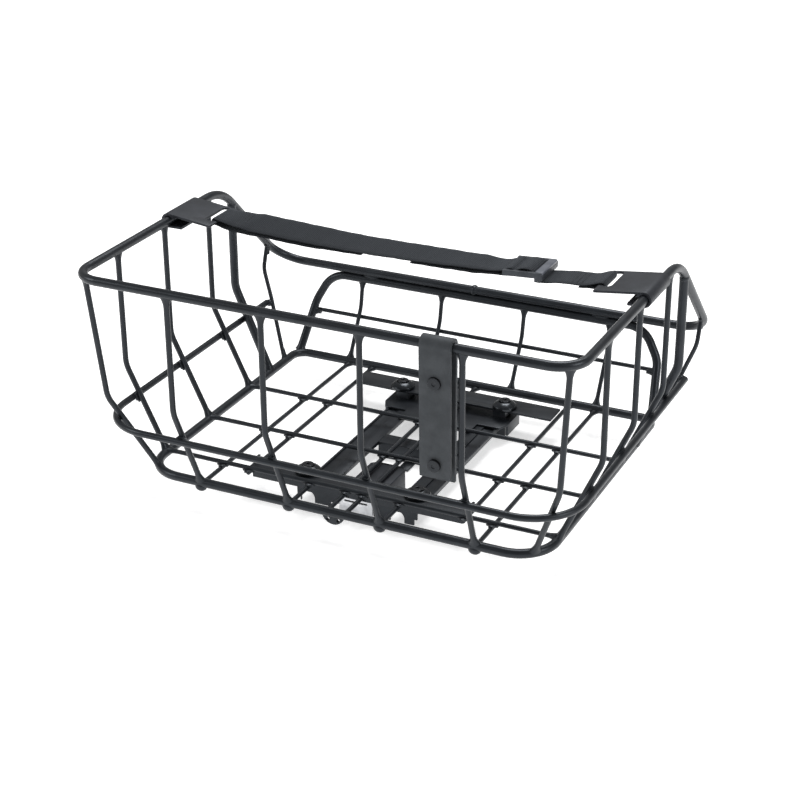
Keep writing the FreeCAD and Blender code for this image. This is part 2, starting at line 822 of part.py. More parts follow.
cover_block = block(
    "cover_block",
    ("-cover_half", "cover_half"),
    ("-cover_front", "-cover_back"),
    (0, "ring_level - 5"),
)
cover_bevel = doc.addObject("Part::Chamfer", "cover_bevel")
cover_bevel.Base = cover_block
doc.recompute()
cover_bevel.Edges = [
    (place, value("cover_chamfer"), value("cover_chamfer"))
    for place, edge in enumerate(cover_block.Shape.Edges, start=1)
    if abs(edge.tangentAt(0).z) > 0.9 and edge.CenterOfMass.y > -value("cover_front") + 1
]
cover_pocket = block(
    "cover_pocket",
    ("-tongue_half - slide_gap", "tongue_half + slide_gap"),
    ("-cover_front - 1", "-tongue_back + latch_travel + 1"),
    ("tongue_low - slide_gap", "tongue_high + slide_gap"),
)
piece(cut("cover", cover_bevel, cover_pocket), "latch_cover")

# The plate has a finger slot across it, above the tongue.
latch_face = block(
    "latch_face",
    ("-latch_half", "latch_half"),
    ("-latch_front", "-latch_front + 2.2"),
    ("latch_low", "latch_high"),
)
latch_tongue = block(
    "latch_tongue",
    ("-tongue_half", "tongue_half"),
    ("-latch_front + 1", "-tongue_back"),
    ("tongue_low", "tongue_high"),
)
latch_slot = block(
    "latch_slot",
    ("-latch_half + 5", "latch_half - 5"),
    ("-latch_front - 1", "-latch_front + 4"),
    ("tongue_high + 1", "tongue_high + 2.4"),
)
piece(cut("latch", union("latch_stock", [latch_face, latch_tongue]), latch_slot), "latch_plate")

# --- Lamp lug under the front of the base ring -------------------------------

lug_disc = rod("lug_disc", "lug_radius", (0, "-ring_half_depth - 1.5", "ring_level"), 3, ALONG_Y)
lug_cutters = [
    block(
        "lug_top",
        ("-lug_radius - 1", "lug_radius + 1"),
        ("-ring_half_depth - 3", "-ring_half_depth + 3"),
        ("ring_level", "ring_level + lug_radius + 1"),
    )
]
for number, sign in enumerate((-1, 1)):
    across = "{} * lug_hole_across".format(sign)
    start = (across, "-ring_half_depth - 3", "ring_level - 6")
    lug_cutters.append(rod("lug_hole_" + str(number), "lug_hole", start, 6, ALONG_Y))
lug_blank = cut("lug_blank", lug_disc, union("lug_cutter", lug_cutters))
piece(cut("lug", lug_blank, base_ring), "lamp_lug")

# --- Front tab, folded over the rim ------------------------------------------


def strip_solid(name, outline, width, place):
    """A band of sheet whose edge follows an outline in the y-z plane, centred on x."""
    ring = Part.makePolygon([Vector(0, y, z) for y, z in outline + outline[:1]])
    sheet_face = doc.addObject("Part::Feature", name + "_profile")
    sheet_face.Shape = Part.Face(ring)
    band = doc.addObject("Part::Extrusion", name)
    band.Base = sheet_face
    band.Dir = Vector(1, 0, 0)
    band.Solid = True
    band.DirMode = "Custom"
    bind(band, "LengthFwd", width)
    bind(band, "Placement.Base.x", place)
    return band


tab_skin = value("tab_skin")
tab_top = value("rim_level + clip_bore")
tab_front = -value("rim_front") - value("clip_bore")
tab_back = -value("rim_front") + value("clip_bore")
tab_low_front = value("ring_level + 75")
tab_low_back = value("ring_level + 70")
tab_width = "2 * tab_half"
tab_start = "tab_centre - tab_half"
front_layer = strip_solid(
    "tab_front_layer",
    [
        (tab_front - tab_skin, value("rim_level")),
        (tab_front, value("rim_level")),
        (tab_front + 2, tab_low_front),
        (tab_front + 2 - tab_skin, tab_low_front),
    ],
    tab_width,
    tab_start,
)
back_layer = strip_solid(
    "tab_back_layer",
    [
        (tab_back, value("rim_level")),
        (tab_back + tab_skin, value("rim_level")),
        (tab_back + tab_skin - 1, tab_low_back),
        (tab_back - 1, tab_low_back),
    ],
    tab_width,
    tab_start,
)
tab_roll = rod(
    "tab_roll",
    "clip_bore + tab_skin",
    (tab_start, "-rim_front", "rim_level"),
    tab_width,
    ALONG_X,
)
tab_below = block(
    "tab_roll_lower",
    (tab_start + " - 1", "tab_centre + tab_half + 1"),
    ("-rim_front - 20", "-rim_front + 20"),
    ("rim_level - 20", "rim_level"),
)
tab_bore = rod(
    "tab_bore",
    "clip_bore",
    (tab_start + " - 1", "-rim_front", "rim_level"),
    tab_width + " + 2",
    ALONG_X,
)
tab_holes = []
tab_screws = []
tab_sleeves = []
for number, height in enumerate(("tab_screw_upper", "tab_screw_lower"), start=1):
    ahead = ("tab_centre", -200, height)
    tab_holes.append(rod("tab_hole_" + str(number), "screw_hole", ahead, 60, ALONG_Y))
    head = rod(
        "tab_head_" + str(number),
        "screw_head",
        ("tab_centre", "-rim_front - clip_bore - tab_skin - head_height + 1.7", height),
        "head_height",
        ALONG_Y,
    )
    shank = rod(
        "tab_shank_" + str(number),
        "screw_shank",
        ("tab_centre", "-rim_front - clip_bore - tab_skin", height),
        "2 * clip_bore + 2 * tab_skin + 2",
        ALONG_Y,
    )
    socket = rod(
        "tab_socket_" + str(number),
        "socket_radius",
        ("tab_centre", "-rim_front - clip_bore - tab_skin - head_height", height),
        "head_height - 0.5",
        ALONG_Y,
    )
    tab_screws.append(
        cut("tab_screw_" + str(number), union("tab_screw_stock_" + str(number), [head, shank]), socket)
    )
    sleeve_hole = rod("tab_sleeve_hole_" + str(number), "screw_hole", ahead, 60, ALONG_Y)
    sleeve_body = rod("tab_sleeve_body_" + str(number), "tab_sleeve", ahead, 60, ALONG_Y)
    sleeve_hollow = cut("tab_sleeve_tube_" + str(number), sleeve_body, sleeve_hole)
    sleeve_room = strip_solid(
        "tab_gap_" + str(number),
        [
            (tab_front + 0.05, value("rim_level")),
            (tab_back - 0.05, value("rim_level")),
            (tab_back - 1.05, tab_low_back),
            (tab_front + 2.05, tab_low_front),
        ],
        tab_width,
        tab_start,
    )
    sleeve = doc.addObject("Part::Common", "tab_sleeve_" + str(number))
    sleeve.Base = sleeve_hollow
    sleeve.Tool = sleeve_room
    tab_sleeves.append(sleeve)
tab_cover = cut("tab_cap", cut("tab_half_roll", tab_roll, tab_below), tab_bore)
tab_whole = union("tab_stock", [front_layer, back_layer, tab_cover])
tab_seats = []
for number, height in enumerate(("tab_screw_upper", "tab_screw_lower"), start=1):
    tab_seats.append(
        rod(
            "tab_seat_" + str(number),
            "screw_head + 0.2",
            ("tab_centre", "-rim_front - clip_bore - tab_skin - head_height", height),
            "head_height + 1.7",
            ALONG_Y,
        )
    )
piece(cut("tab", tab_whole, union("tab_openings", tab_holes + tab_seats)), "front_tab")
piece(group("tab_screw_pair", tab_screws), "tab_screws")
piece(group("tab_sleeve_pair", tab_sleeves), "tab_sleeves")

# --- Strap clips hooked round the side rims ----------------------------------

# The clip is a hook that snaps round the rim. Its plate runs inwards and a little
# down, above the strap's slot, and a shorter lip closes the hook from below.

clip_span = "clip_back + clip_front"
clip_open = ("-clip_front - 1", "clip_back + 1")
skin_radius = "clip_bore + clip_skin"
slope = value("plate_fall")


def clip_slab(name, reach, thick, lift):
    """A sloping slab from the top of the hook inwards, lifted off the bore."""
    slab = doc.addObject("Part::Box", name)
    slab.Placement = Placement(Vector(), Rotation(Vector(0, 1, 0), -slope))
    bind(slab, "Length", reach)
    bind(slab, "Width", clip_span)
    bind(slab, "Height", thick)
    lean = math.radians(slope)
    bind(
        slab,
        "Placement.Base.x",
        "rim_half_width - ({}) * {} - ({}) * {}".format(reach, math.cos(lean), lift, math.sin(lean)),
    )
    bind(slab, "Placement.Base.y", "-clip_front")
    bind(
        slab,
        "Placement.Base.z",
        "rim_level - ({}) * {} + ({}) * {}".format(reach, math.sin(lean), lift, math.cos(lean)),
    )
    return slab


clip_hook = rod(
    "clip_hook", skin_radius, ("rim_half_width", "-clip_front", "rim_level"), clip_span, ALONG_Y
)
clip_plate = clip_slab("clip_plate", "plate_reach", "plate_thick", skin_radius + " - plate_thick")
clip_lip = block(
    "clip_lip",
    ("rim_half_width - lip_reach", "rim_half_width"),
    ("-clip_front", "clip_back"),
    ("rim_level - clip_bore - clip_skin", "rim_level - clip_bore"),
)
clip_hollow = rod(
    "clip_hollow",
    "clip_bore",
    ("rim_half_width", "-clip_front - 1", "rim_level"),
    clip_span + " + 2",
    ALONG_Y,
)
clip_mouth = block(
    "clip_mouth",
    ("rim_half_width - 20", "rim_half_width"),
    clip_open,
    ("rim_level - clip_bore", "rim_level + clip_bore - 2.6"),
)
slot_reach = "(strap_half + 2.5 - slot_width / 2)"
clip_slot = [
    block(
        "clip_slot",
        ("bar_outer", "bar_outer + slot_width"),
        ("strap_centre - " + slot_reach, "strap_centre + " + slot_reach),
        ("rim_level - 10", "rim_level + 10"),
    )
]
for number, sign in enumerate((-1, 1)):
    end = "strap_centre + {} * {}".format(sign, slot_reach)
    start = ("bar_outer + slot_width / 2", end, "rim_level - 10")
    clip_slot.append(rod("clip_slot_end_" + str(number), "slot_width / 2", start, 20))
clip_stock = union("clip_stock", [clip_hook, clip_plate, clip_lip])
clip_right = cut("clip_right", clip_stock, union("clip_openings", [clip_hollow, clip_mouth] + clip_slot))
piece(mirrored("clip_left", clip_right), "strap_clip_left")
piece(clip_right, "strap_clip_right")

# --- Webbing strap and buckle ------------------------------------------------


def webbing(name, points, rounds):
    """Flat webbing: a centreline in the x-z plane, thickened, as wide as the strap."""
    places = [Vector(value(x), 0, value(z)) for x, z in points]
    bends = [value(formula) for formula in rounds]
    route = rounded_path(places, bends, False)
    half = value("webbing") / 2
    sides = []
    for offset in (half, -half):
        sides.append(route.makeOffset2D(offset, openResult=True, join=0))
    upper, lower = sides
    upper_ends = (upper.OrderedVertexes[0].Point, upper.OrderedVertexes[-1].Point)
    lower_ends = (lower.OrderedVertexes[0].Point, lower.OrderedVertexes[-1].Point)
    if (upper_ends[0] - lower_ends[0]).Length > (upper_ends[0] - lower_ends[1]).Length:
        lower_ends = (lower_ends[1], lower_ends[0])
    closing = [Part.LineSegment(upper_ends[index], lower_ends[index]).toShape() for index in (0, 1)]
    outline = Part.Wire(Part.__sortEdges__(upper.Edges + lower.Edges + closing))
    edge_face = doc.addObject("Part::Feature", name + "_edge")
    edge_face.Shape = Part.Face(outline)
    band = doc.addObject("Part::Extrusion", name)
    band.Base = edge_face
    band.Dir = Vector(0, 1, 0)
    band.Solid = True
    band.DirMode = "Custom"
    bind(band, "LengthFwd", "2 * strap_half")
    bind(band, "Placement.Base.y", "strap_centre - strap_half")
    return band


# At each clip the webbing passes over the bar, down through the slot and back
# underneath, where its folded end is sewn to the strap.
bar_gap = "(plate_thick / 2 + webbing / 2 + 0.35)"
loop_turn = "bar_outer + webbing / 2 + 0.3"
loop_rise = "(bar_outer - bar_inner) * {}".format(math.tan(math.radians(slope)))
loop_end = "bar_inner - 4"
strap_start = "bar_inner - 6"
lap_end = "bar_inner - 17"
loop_drop = "0.4"
above_bar = "bar_height - {} + {}".format(loop_drop, bar_gap)
below_bar = "bar_height - {} - {}".format(loop_drop, bar_gap)
for side, sign in (("left", -1), ("right", 1)):
    loop = webbing(
        "loop_" + side,
        [
            ("{} * ({})".format(sign, loop_end), above_bar),
            ("{} * ({})".format(sign, loop_turn), "bar_height + " + bar_gap + " + " + loop_rise),
            ("{} * ({})".format(sign, loop_turn), "bar_height - " + bar_gap + " + " + loop_rise),
            ("{} * ({})".format(sign, loop_end), below_bar),
        ],
        [0, 1.2, 1.2, 0],
    )
    piece(loop, "strap_loop_" + side)


def lap(name, sign):
    """The folded end of the webbing, sewn flat under the strap."""
    return webbing(
        name,
        [
            ("{} * ({})".format(sign, strap_start), below_bar),
            ("{} * ({} - 4)".format(sign, strap_start), below_bar + " - 0.2"),
            ("{} * ({})".format(sign, lap_end), "strap_level - webbing + 0.35"),
        ],
        [0, 5, 0],
    )


long_run = webbing(
    "long_run",
    [
        ("-({})".format(strap_start), above_bar),
        ("-({}) + 12".format(strap_start), "strap_level + 0.2"),
        (-40, "strap_level - strap_sag"),
        ("buckle_left - 2", "strap_level"),
    ],
    [0, 20, 900, 0],
)
piece(union("long_stock", [long_run, lap("long_lap", -1)]), "strap_long")

short_run = webbing(
    "short_run",
    [
        ("buckle_right + 2", "buckle_level - 4.2"),
        ("buckle_right + 12", "strap_level - 1"),
        (strap_start + " - 12", "strap_level + 0.2"),
        (strap_start, above_bar),
    ],
    [0, 30, 20, 0],
)
piece(union("short_stock", [short_run, lap("short_lap", 1)]), "strap_short")

# The buckle is a frame of two side rails, two rungs, an end wall and a pivot between
# two ears. The rails rise towards the end wall. The strap climbs over both rungs,
# turns round the second and its tail comes back below.
first_rung = "buckle_left + 12"
second_rung = "buckle_left + 27"
second_lift = "0.9"
pivot_spot = "buckle_right - 4"
pivot_level = "buckle_level - 2.4"
buckle_parts = []
for number, sign in enumerate((-1, 1)):
    middle = "strap_centre + {} * (buckle_half - buckle_rail / 2)".format(sign)
    rail_width = (middle + " - buckle_rail / 2", middle + " + buckle_rail / 2")
    side_rail = doc.addObject("Part::Box", "buckle_rail_" + str(number))
    side_rail.Placement = Placement(Vector(), Rotation(Vector(0, 1, 0), -value("buckle_rise")))
    bind(side_rail, "Length", "buckle_right - buckle_left - rail_set_back - 1")
    bind(side_rail, "Width", "buckle_rail")
    bind(side_rail, "Height", "buckle_tall")
    bind(side_rail, "Placement.Base.x", "buckle_left + rail_set_back")
    bind(side_rail, "Placement.Base.y", rail_width[0])
    bind(side_rail, "Placement.Base.z", "buckle_level - 2.5")
    buckle_parts.append(side_rail)
    buckle_parts.append(
        block(
            "buckle_ear_" + str(number),
            (pivot_spot + " - 2.6", pivot_spot + " + 2.6"),
            rail_width,
            (pivot_level + " - rung_radius", "buckle_level + 1"),
        )
    )
bars = (
    (first_rung, "buckle_level"),
    (second_rung, "buckle_level + " + second_lift),
    (pivot_spot, pivot_level),
)
for number, (place, level) in enumerate(bars):
    buckle_parts.append(
        rod(
            "buckle_rung_" + str(number),
            "rung_radius",
            (place, "strap_centre - buckle_half + 1", level),
            "2 * buckle_half - 2",
            ALONG_Y,
        )
    )
buckle_parts.append(
    block(
        "buckle_wall",
        ("buckle_right - end_wall", "buckle_right"),
        ("strap_centre - buckle_half", "strap_centre + buckle_half"),
        ("buckle_level - 2.3", "buckle_level + 3"),
    )
)


def grip_box(name, spare):
    """The light bar that lies across the rails' ends, or the room for it."""
    return block(
        name,
        ("buckle_right - grip_width - {}".format(spare), "buckle_right + {}".format(2 * spare)),
        (
            "strap_centre - buckle_half + 1.2 - {}".format(spare),
            "strap_centre + buckle_half - 1.2 + {}".format(spare),
        ),
        ("buckle_level + 2.05 - {}".format(spare), "buckle_level + 4.4 + {}".format(spare)),
    )


piece(cut("buckle", union("buckle_stock", buckle_parts), grip_box("grip_room", 0.05)), "buckle_frame")

grip = grip_box("grip_block", 0)
grip_round = doc.addObject("Part::Fillet", "grip")
grip_round.Base = grip
doc.recompute()
grip_round.Edges = [
    (index + 1, 1.0, 1.0)
    for index, edge in enumerate(grip.Shape.Edges)
    if abs(edge.tangentAt(0).y) > 0.9 and edge.CenterOfMass.z > grip.Shape.BoundBox.Center.z
]
piece(grip_round, "buckle_bar")

over_rung = "buckle_level + rung_radius + webbing / 2 + 0.1"
under_rung = "buckle_level - rung_radius - webbing / 2 - 0.1"
over_second = over_rung + " + " + second_lift
hump = webbing(
    "strap_hump",
    [
        ("buckle_left", "strap_level + 0.2"),
        (first_rung + " - 2.5", over_rung),
        (first_rung + " + 3.5", over_rung),
        (first_rung + " + 6.5", over_rung + " - 1"),
        (second_rung + " - 2.5", over_second),
        (second_rung + " + 2.6", over_second),
        (second_rung + " + 2.6", under_rung),
        (first_rung + " - 8", under_rung + " - 0.9"),
    ],
    [0, 3, 3, 4, 3, 2, 2, 0],
)
anchor = webbing(
    "strap_anchor",
    [
        ("buckle_right", "buckle_level - 4.8"),
        (pivot_spot + " - 2.6", "buckle_level - 4.9"),
        (pivot_spot + " - 2.6", "buckle_level + 0.1"),
        (pivot_spot + " + 1.6", "buckle_level + 0.1"),
    ],
    [0, 1.2, 1.2, 0],
)
piece(group("bend", [hump, anchor]), "strap_bend")

# --- Check every object, then write one file for each piece ------------------

doc.recompute()
faults = []
for thing in doc.Objects:
    if "Invalid" in thing.State or "Error" in thing.State:
        faults.append(thing.Label + " state " + str(thing.State))
    if hasattr(thing, "Shape") and thing.TypeId != "Part::Circle":
        if thing.Shape.isNull() or not thing.Shape.isValid():
            faults.append(thing.Label + " has a bad shape")
for thing in pieces:
    if not thing.Shape.Solids:
        faults.append(thing.Label + " has no solid")
if faults:
    raise RuntimeError("; ".join(faults))

for thing in pieces:
    thing.Shape.exportStep(os.path.join("parts", thing.Label + ".step"))
print("pieces", len(pieces))
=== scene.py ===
import json
import math

import bmesh
import bpy
from mathutils import Matrix, Vector


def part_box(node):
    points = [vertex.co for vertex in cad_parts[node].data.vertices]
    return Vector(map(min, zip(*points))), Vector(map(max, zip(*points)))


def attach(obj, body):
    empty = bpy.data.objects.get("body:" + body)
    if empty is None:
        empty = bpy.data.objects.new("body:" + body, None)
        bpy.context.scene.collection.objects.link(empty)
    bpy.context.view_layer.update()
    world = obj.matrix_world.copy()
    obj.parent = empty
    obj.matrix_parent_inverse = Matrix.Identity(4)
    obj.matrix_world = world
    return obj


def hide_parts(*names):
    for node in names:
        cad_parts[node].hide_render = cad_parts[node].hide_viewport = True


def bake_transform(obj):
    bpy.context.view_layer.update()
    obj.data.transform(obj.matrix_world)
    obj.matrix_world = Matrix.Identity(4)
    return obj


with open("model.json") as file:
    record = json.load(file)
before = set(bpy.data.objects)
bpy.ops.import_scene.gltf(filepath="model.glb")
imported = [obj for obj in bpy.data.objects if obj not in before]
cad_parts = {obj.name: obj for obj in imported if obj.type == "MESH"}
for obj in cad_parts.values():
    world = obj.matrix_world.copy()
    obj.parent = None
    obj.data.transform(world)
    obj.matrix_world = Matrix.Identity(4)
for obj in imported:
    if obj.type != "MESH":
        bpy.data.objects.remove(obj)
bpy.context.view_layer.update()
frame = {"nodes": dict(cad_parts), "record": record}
nodes = frame["nodes"]
MM = 0.001

# --- Camera, floor and light -------------------------------------------------

CAMERA_AZIMUTH = 25.7085
CAMERA_ELEVATION = 25.4085
CAMERA_ROLL = -0.2992
CAMERA_LENS = 82.93
CAMERA_PLACE = Vector((0.63055, -1.32146, 0.76268))
FLOOR_HALF = 6
FLOOR_LEVEL = -0.0005
FLOOR_GLOW = 0.55
SKY = 0.35
LIGHTS_AIM = Vector((0, 0, 0.1))
# Name, place, width in metres and power in watts: above and behind, left front, right.
LIGHTS = (
    ("light_top", Vector((-0.1, 0.75, 1.7)), 0.9, 22),
    ("light_left", Vector((-1.5, -1.0, 1.1)), 0.7, 9),
    ("light_right", Vector((1.5, -0.2, 0.9)), 0.6, 7),
)


def link(name, data):
    """Puts an object made from this data into the scene."""
    holder = bpy.data.objects.new(name, data)
    bpy.context.scene.collection.objects.link(holder)
    return holder


def make_camera():
    azimuth = math.radians(CAMERA_AZIMUTH)
    elevation = math.radians(CAMERA_ELEVATION)
    roll = math.radians(CAMERA_ROLL)
    back = Vector((
        math.sin(azimuth) * math.cos(elevation),
        -math.cos(azimuth) * math.cos(elevation),
        math.sin(elevation),
    ))
    level = Vector((math.cos(azimuth), math.sin(azimuth), 0))
    upright = back.cross(level)
    right = level * math.cos(roll) + upright * math.sin(roll)
    up = upright * math.cos(roll) - level * math.sin(roll)
    lens = bpy.data.cameras.new("camera")
    lens.lens = CAMERA_LENS
    lens.sensor_width = 36
    lens.clip_end = 50
    camera = link("camera", lens)
    camera.matrix_world = Matrix((
        (right.x, up.x, back.x, CAMERA_PLACE.x),
        (right.y, up.y, back.y, CAMERA_PLACE.y),
        (right.z, up.z, back.z, CAMERA_PLACE.z),
        (0, 0, 0, 1),
    ))
    bpy.context.scene.camera = camera


def make_floor():
    mesh = bpy.data.meshes.new("floor")
    signs = ((-1, -1), (1, -1), (1, 1), (-1, 1))
    corners = [(x * FLOOR_HALF, y * FLOOR_HALF, FLOOR_LEVEL) for x, y in signs]
    mesh.from_pydata(corners, [], [(0, 1, 2, 3)])
    floor = link("floor", mesh)
    paint = bpy.data.materials.new("floor_paint")
    paint.use_nodes = True
    shader = paint.node_tree.nodes["Principled BSDF"]
    shader.inputs["Base Color"].default_value = (0.92, 0.92, 0.92, 1)
    shader.inputs["Roughness"].default_value = 1.0
    shader.inputs["Specular IOR Level"].default_value = 0.0
    shader.inputs["Emission Color"].default_value = (1, 1, 1, 1)
    shader.inputs["Emission Strength"].default_value = FLOOR_GLOW
    mesh.materials.append(paint)


def make_lights():
    world = bpy.data.worlds.new("studio")
    world.use_nodes = True
    world.node_tree.nodes["Background"].inputs["Color"].default_value = (1, 1, 1, 1)
    world.node_tree.nodes["Background"].inputs["Strength"].default_value = SKY
    bpy.context.scene.world = world
    bpy.context.scene.view_settings.view_transform = "Standard"
    for name, place, size, power in LIGHTS:
        lamp = bpy.data.lights.new(name, "AREA")
        lamp.size = size
        lamp.energy = power
        holder = link(name, lamp)
        holder.location = place
        holder.rotation_euler = (LIGHTS_AIM - place).to_track_quat("-Z", "Y").to_euler()


make_camera()
make_floor()
make_lights()

# --- Materials ---------------------------------------------------------------


class Paint:
    """A node material under construction, with short calls for its nodes."""

    def __init__(self, name, color, roughness, metallic=0.0):
        self.material = bpy.data.materials.new(name)
        self.material.use_nodes = True
        self.tree = self.material.node_tree
        self.shader = self.tree.nodes["Principled BSDF"]
        self.put("Base Color", (*color, 1))
        self.put("Roughness", roughness)
        self.put("Metallic", metallic)
        self.place = self.tree.nodes.new("ShaderNodeTexCoord").outputs["Object"]
        self.bumps = None

    def put(self, socket, value):
        self.shader.inputs[socket].default_value = value

    def join(self, source, target):
        self.tree.links.new(source, target)

    def noise(self, scale, detail=2.0, stretch=None):
        node = self.tree.nodes.new("ShaderNodeTexNoise")
        node.inputs["Scale"].default_value = scale
        node.inputs["Detail"].default_value = detail
        self.join(self.stretched(stretch), node.inputs["Vector"])
        return node.outputs["Fac"]

    def wave(self, direction, pitch_mm):
        """Even bands across one direction, one to a pitch."""
        node = self.tree.nodes.new("ShaderNodeTexWave")
        node.wave_type = "BANDS"
        node.bands_direction = direction
        node.inputs["Scale"].default_value = math.pi / (10 * pitch_mm * MM)
        self.join(self.place, node.inputs["Vector"])
        return node.outputs["Fac"]

    def stretched(self, stretch):
        if stretch is None:
            return self.place
        node = self.tree.nodes.new("ShaderNodeMapping")
        node.inputs["Scale"].default_value = stretch
        self.join(self.place, node.inputs["Vector"])
        return node.outputs["Vector"]

    def product(self, first, second):
        node = self.tree.nodes.new("ShaderNodeMath")
        node.operation = "MULTIPLY"
        self.join(first, node.inputs[0])
        self.join(second, node.inputs[1])
        return node.outputs["Value"]

    def spread(self, source, low, high):
        """Maps a 0 to 1 source on to low to high."""
        node = self.tree.nodes.new("ShaderNodeMapRange")
        node.inputs["To Min"].default_value = low
        node.inputs["To Max"].default_value = high
        self.join(source, node.inputs["Value"])
        return node.outputs["Result"]

    def color(self, source, dark, light, low=0.35, high=0.65):
        """Colours the surface from dark to light where the source goes from low to high."""
        node = self.tree.nodes.new("ShaderNodeValToRGB")
        for element, position, color in zip(node.color_ramp.elements, (low, high), (dark, light)):
            element.position = position
            element.color = (*color, 1)
        self.join(source, node.inputs["Fac"])
        self.join(node.outputs["Color"], self.shader.inputs["Base Color"])

    def rough(self, source, low, high):
        self.join(self.spread(source, low, high), self.shader.inputs["Roughness"])

    def bump(self, source, height_mm, strength=1.0):
        node = self.tree.nodes.new("ShaderNodeBump")
        node.inputs["Strength"].default_value = strength
        node.inputs["Distance"].default_value = height_mm * MM
        self.join(source, node.inputs["Height"])
        if self.bumps is not None:
            self.join(self.bumps, node.inputs["Normal"])
        self.bumps = node.outputs["Normal"]
        self.join(self.bumps, self.shader.inputs["Normal"])


# Highlights on the dark materials are a little blue, as in the photo.
COOL = (0.84, 0.91, 1.0, 1)
# The weave's pitches, in millimetres.
WARP_PITCH = 1.5
WEFT_PITCH = 1.3


def powder_coat():
    paint = Paint("powder_coat", (0.010, 0.011, 0.013), 0.32)
    paint.color(paint.noise(60, 3), (0.008, 0.009, 0.011), (0.014, 0.016, 0.019))
    paint.rough(paint.noise(35, 2), 0.28, 0.38)
    paint.bump(paint.noise(900, 2), 0.05, 0.3)
    paint.bump(paint.noise(220, 2), 0.12, 0.25)
    paint.put("Specular IOR Level", 0.40)
    paint.put("Specular Tint", COOL)
    return paint.material


def moulded_plastic(name, dark, light, roughness, grain=1400, specular=0.4):
    paint = Paint(name, light, roughness)
    paint.color(paint.noise(90, 3), dark, light)
    paint.rough(paint.noise(50, 2), roughness - 0.06, roughness + 0.08)
    paint.bump(paint.noise(grain, 2), 0.06, 0.4)
    paint.put("Specular IOR Level", specular)
    paint.put("Specular Tint", COOL)
    return paint.material


def zinc():
    paint = Paint("zinc", (0.62, 0.63, 0.65), 0.32, 1.0)
    paint.color(paint.noise(120, 3), (0.52, 0.53, 0.55), (0.70, 0.71, 0.73))
    paint.rough(paint.noise(40, 2, stretch=(20, 1, 1)), 0.24, 0.42)
    paint.bump(paint.noise(300, 2, stretch=(12, 1, 1)), 0.03, 0.4)
    return paint.material


def woven(name, dark, light):
    """Plain weave: threads along the strap crossing threads over its width."""
    paint = Paint(name, light, 0.9)
    cloth = paint.product(paint.wave("X", WARP_PITCH), paint.wave("Y", WEFT_PITCH))
    # The weave is painted darker where its relief is low: painted shade between the threads, over the
    # webbing's own dark colour.
    paint.color(cloth, dark, light, 0.1, 0.8)
    paint.bump(cloth, 0.25, 0.8)
    paint.bump(paint.noise(1800, 2), 0.08, 0.5)
    paint.put("Specular IOR Level", 0.2)
    paint.put("Specular Tint", COOL)
    paint.put("Sheen Tint", COOL)
    paint.put("Sheen Weight", 0.2)
    paint.put("Sheen Roughness", 0.5)
    return paint.material


COAT = powder_coat()
PLASTIC = moulded_plastic("clip_plastic", (0.014, 0.015, 0.018), (0.022, 0.023, 0.028), 0.46)
CAP = moulded_plastic("cap_plastic", (0.006, 0.007, 0.008), (0.011, 0.012, 0.014), 0.22, specular=0.5)
RUBBER = moulded_plastic("tab_rubber", (0.036, 0.039, 0.042), (0.052, 0.056, 0.060), 0.62, grain=700)
SCREW = moulded_plastic("screw_black", (0.004, 0.004, 0.005), (0.009, 0.009, 0.010), 0.22)
# The buckle's plastic, then the same plastic painted lighter for its grip bar: a painted highlight where
# light falls on the bar.
BUCKLE_DARK = moulded_plastic("buckle_dark", (0.040, 0.043, 0.050), (0.056, 0.060, 0.068), 0.40)
BUCKLE_PAINTED_HIGHLIGHT = moulded_plastic("buckle_light", (0.10, 0.107, 0.128), (0.14, 0.148, 0.172), 0.30)
ZINC = zinc()
WEBBING = woven("webbing", (0.006, 0.0065, 0.008), (0.018, 0.020, 0.024))
THREAD = moulded_plastic("thread", (0.012, 0.012, 0.013), (0.03, 0.03, 0.032), 0.7)

PAINT_OF_SLOT = {
    "black_coat": COAT,
    "black_plastic": PLASTIC,
    "black_screw": SCREW,
    "zinc_steel": ZINC,
    "tab_rubber": RUBBER,
    "webbing": WEBBING,
    "buckle_dark": BUCKLE_DARK,
    "buckle_light": BUCKLE_PAINTED_HIGHLIGHT,
}
SLOT_OF_NODE = {entry["node"]: entry["material_slot"] for entry in frame["record"]["subparts"]}
BODY_OF_NODE = {
    name: body for body, members in frame["record"]["behaviour"]["bodies"].items() for name in members
}

for name, slot_name in SLOT_OF_NODE.items():
    for slot in nodes[name].material_slots:
        slot.material = PAINT_OF_SLOT[slot_name]

# --- Mesh helpers ------------------------------------------------------------

# Edges below these angles, in degrees, look smooth on hard parts and on cloth.
SMOOTH_BELOW = 40
SMOOTH_CLOTH = 60
# A softened part: points this near are one, edges this flat go, sharper ones are rounded.
SAME_POINT = 0.02 * MM
FLAT_BELOW = 1
ROUNDED_ABOVE = 30
ROUNDING_STEPS = 3


def turns(count):
    """Even angles round a full turn."""
    return [math.tau * index / count for index in range(count)]


def oval(centre, first, second, count):
    """A ring of points round a centre, from its two half axes."""
    return [centre + first * math.cos(turn) + second * math.sin(turn) for turn in turns(count)]


def loft(mesh, rings):
    """Quads between closed rings of points, with the two ends filled."""
    made = [[mesh.verts.new(point) for point in ring] for ring in rings]
    for near, far in zip(made, made[1:]):
        count = len(near)
        for index in range(count):
            onward = (index + 1) % count
            mesh.faces.new((near[index], near[onward], far[onward], far[index]))
    mesh.faces.new(list(reversed(made[0])))
    mesh.faces.new(made[-1])


def place_mesh(name, mesh, paint, smooth_angle=SMOOTH_BELOW):
    """Turns a bmesh into a piece, smooth except across sharp edges."""
    bmesh.ops.recalc_face_normals(mesh, faces=mesh.faces)
    limit = math.radians(smooth_angle)
    for face in mesh.faces:
        face.smooth = True
    for edge in mesh.edges:
        edge.smooth = len(edge.link_faces) == 2 and edge.calc_face_angle(0) < limit
    data = bpy.data.meshes.new(name)
    mesh.to_mesh(data)
    mesh.free()
    data.materials.append(paint)
    return link(name, data)


